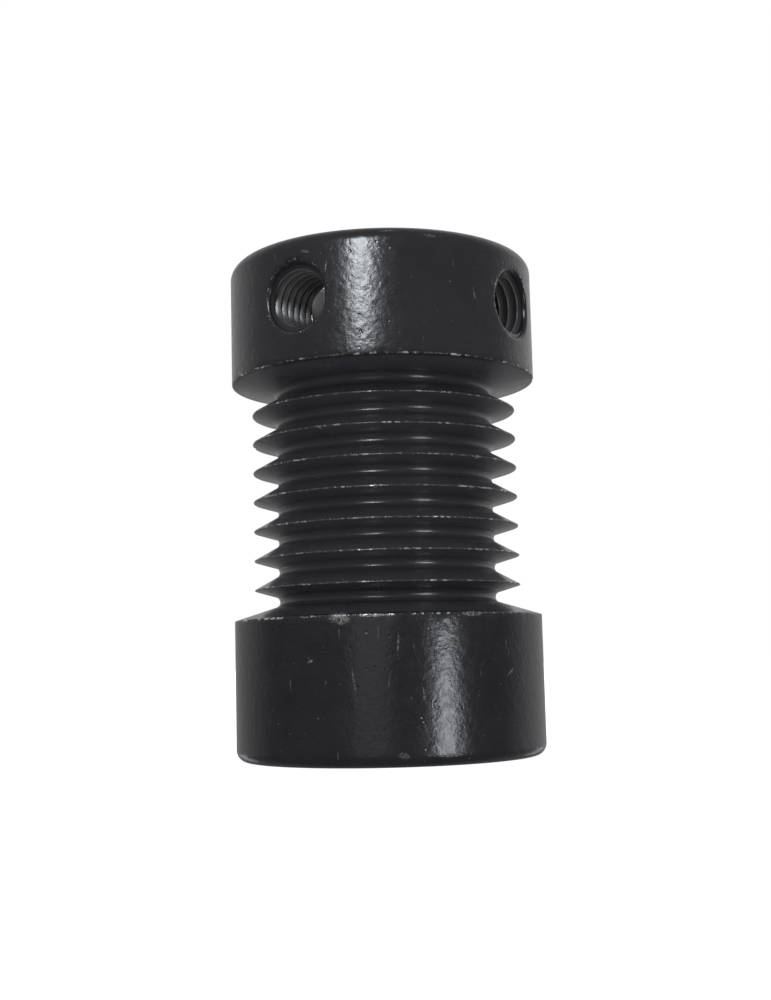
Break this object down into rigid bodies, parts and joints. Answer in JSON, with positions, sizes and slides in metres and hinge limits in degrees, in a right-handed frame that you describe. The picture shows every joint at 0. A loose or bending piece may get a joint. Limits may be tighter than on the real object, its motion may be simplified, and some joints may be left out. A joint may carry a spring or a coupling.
{
  "type": "flexible shaft coupling",
  "caption": "Turned flexible shaft coupling: two cylindrical hubs with set-screw holes, joined by a V-grooved sleeve that bends, twists and shortens slightly to take up shaft misalignment.",
  "frame": {"origin": "centre of the lower hub's end face", "axes": "+Z along the shafts, from the lower hub to the upper hub; one tapped hole of the upper hub faces -Y, the other +X"},
  "size_m": [0.025, 0.025, 0.0405],
  "materials": {
    "black_coating": "satin black coating with a fine orange-peel texture, worn bright along sharp edges",
    "screw_steel": "black-oxide steel, lightly oiled"
  },
  "bodies": {
    "lower_hub": {"lower_hub": "black_coating"},
    "upper_hub": {"upper_hub": "black_coating"},
    "root_web_1": {"root_web_1": "black_coating"},
    "root_web_2": {"root_web_2": "black_coating"},
    "root_web_3": {"root_web_3": "black_coating"},
    "root_web_4": {"root_web_4": "black_coating"},
    "root_web_5": {"root_web_5": "black_coating"},
    "root_web_6": {"root_web_6": "black_coating"},
    "root_web_7": {"root_web_7": "black_coating"},
    "root_web_8": {"root_web_8": "black_coating"},
    "ridge_1": {"ridge_1": "black_coating"},
    "ridge_2": {"ridge_2": "black_coating"},
    "ridge_3": {"ridge_3": "black_coating"},
    "ridge_4": {"ridge_4": "black_coating"},
    "ridge_5": {"ridge_5": "black_coating"},
    "ridge_6": {"ridge_6": "black_coating"},
    "ridge_7": {"ridge_7": "black_coating"},
    "set_screw_1": {"set_screw_1": "screw_steel"},
    "set_screw_2": {"set_screw_2": "screw_steel"}
  },
  "joints": [
    {"name": "axial_flex_1", "type": "slide", "parent": "lower_hub", "child": "root_web_1", "axis": [0, 0, 1], "range_m": [-0.0001, 0.0001], "stiffness_N_per_m": 12000},
    {"name": "bend_x_lower_1", "type": "hinge", "parent": "root_web_1", "child": "ridge_1", "pos_m": [0, 0, 0.01307], "axis": [1, 0, 0], "range_deg": [-1, 1], "stiffness_Nm_per_rad": 1},
    {"name": "twist_flex_1", "type": "hinge", "parent": "ridge_1", "child": "root_web_2", "pos_m": [0, 0, 0.01467], "axis": [0, 0, 1], "range_deg": [-0.25, 0.25], "stiffness_Nm_per_rad": 1},
    {"name": "bend_y_lower_1", "type": "hinge", "parent": "root_web_2", "child": "ridge_2", "pos_m": [0, 0, 0.01547], "axis": [0, 1, 0], "range_deg": [-1, 1], "stiffness_Nm_per_rad": 1},
    {"name": "axial_flex_2", "type": "slide", "parent": "ridge_2", "child": "root_web_3", "axis": [0, 0, 1], "range_m": [-0.0001, 0.0001], "stiffness_N_per_m": 12000},
    {"name": "bend_x_lower_2", "type": "hinge", "parent": "root_web_3", "child": "ridge_3", "pos_m": [0, 0, 0.01786], "axis": [1, 0, 0], "range_deg": [-1, 1], "stiffness_Nm_per_rad": 1},
    {"name": "twist_flex_2", "type": "hinge", "parent": "ridge_3", "child": "root_web_4", "pos_m": [0, 0, 0.01946], "axis": [0, 0, 1], "range_deg": [-0.25, 0.25], "stiffness_Nm_per_rad": 1},
    {"name": "bend_y_lower_2", "type": "hinge", "parent": "root_web_4", "child": "ridge_4", "pos_m": [0, 0, 0.02026], "axis": [0, 1, 0], "range_deg": [-1, 1], "stiffness_Nm_per_rad": 1},
    {"name": "axial_flex_3", "type": "slide", "parent": "ridge_4", "child": "root_web_5", "axis": [0, 0, 1], "range_m": [-0.0001, 0.0001], "stiffness_N_per_m": 12000},
    {"name": "bend_x_upper_1", "type": "hinge", "parent": "root_web_5", "child": "ridge_5", "pos_m": [0, 0, 0.02265], "axis": [1, 0, 0], "range_deg": [-1, 1], "stiffness_Nm_per_rad": 1},
    {"name": "twist_flex_3", "type": "hinge", "parent": "ridge_5", "child": "root_web_6", "pos_m": [0, 0, 0.02425], "axis": [0, 0, 1], "range_deg": [-0.25, 0.25], "stiffness_Nm_per_rad": 1},
    {"name": "bend_y_upper_1", "type": "hinge", "parent": "root_web_6", "child": "ridge_6", "pos_m": [0, 0, 0.02505], "axis": [0, 1, 0], "range_deg": [-1, 1], "stiffness_Nm_per_rad": 1},
    {"name": "axial_flex_4", "type": "slide", "parent": "ridge_6", "child": "root_web_7", "axis": [0, 0, 1], "range_m": [-0.0001, 0.0001], "stiffness_N_per_m": 12000},
    {"name": "bend_x_upper_2", "type": "hinge", "parent": "root_web_7", "child": "ridge_7", "pos_m": [0, 0, 0.02745], "axis": [1, 0, 0], "range_deg": [-1, 1], "stiffness_Nm_per_rad": 1},
    {"name": "twist_flex_4", "type": "hinge", "parent": "ridge_7", "child": "root_web_8", "pos_m": [0, 0, 0.02904], "axis": [0, 0, 1], "range_deg": [-0.25, 0.25], "stiffness_Nm_per_rad": 1},
    {"name": "bend_y_upper_2", "type": "hinge", "parent": "root_web_8", "child": "upper_hub", "pos_m": [0, 0, 0.02984], "axis": [0, 1, 0], "range_deg": [-1, 1], "stiffness_Nm_per_rad": 1},
    {"name": "set_screw_1_travel", "type": "slide", "parent": "lower_hub", "child": "set_screw_1", "axis": [0, 1, 0], "range_m": [-0.001, 0.0012]},
    {"name": "set_screw_2_travel", "type": "slide", "parent": "lower_hub", "child": "set_screw_2", "axis": [-1, 0, 0], "range_m": [-0.001, 0.0012]}
  ],
  "couplings": [
    {"joint": "axial_flex_2", "follows": "axial_flex_1", "ratio": 1},
    {"joint": "bend_x_lower_2", "follows": "bend_x_lower_1", "ratio": 1},
    {"joint": "twist_flex_2", "follows": "twist_flex_1", "ratio": 1},
    {"joint": "bend_y_lower_2", "follows": "bend_y_lower_1", "ratio": 1},
    {"joint": "axial_flex_3", "follows": "axial_flex_1", "ratio": 1},
    {"joint": "twist_flex_3", "follows": "twist_flex_1", "ratio": 1},
    {"joint": "axial_flex_4", "follows": "axial_flex_1", "ratio": 1},
    {"joint": "bend_x_upper_2", "follows": "bend_x_upper_1", "ratio": 1},
    {"joint": "twist_flex_4", "follows": "twist_flex_1", "ratio": 1},
    {"joint": "bend_y_upper_2", "follows": "bend_y_upper_1", "ratio": 1}
  ]
}
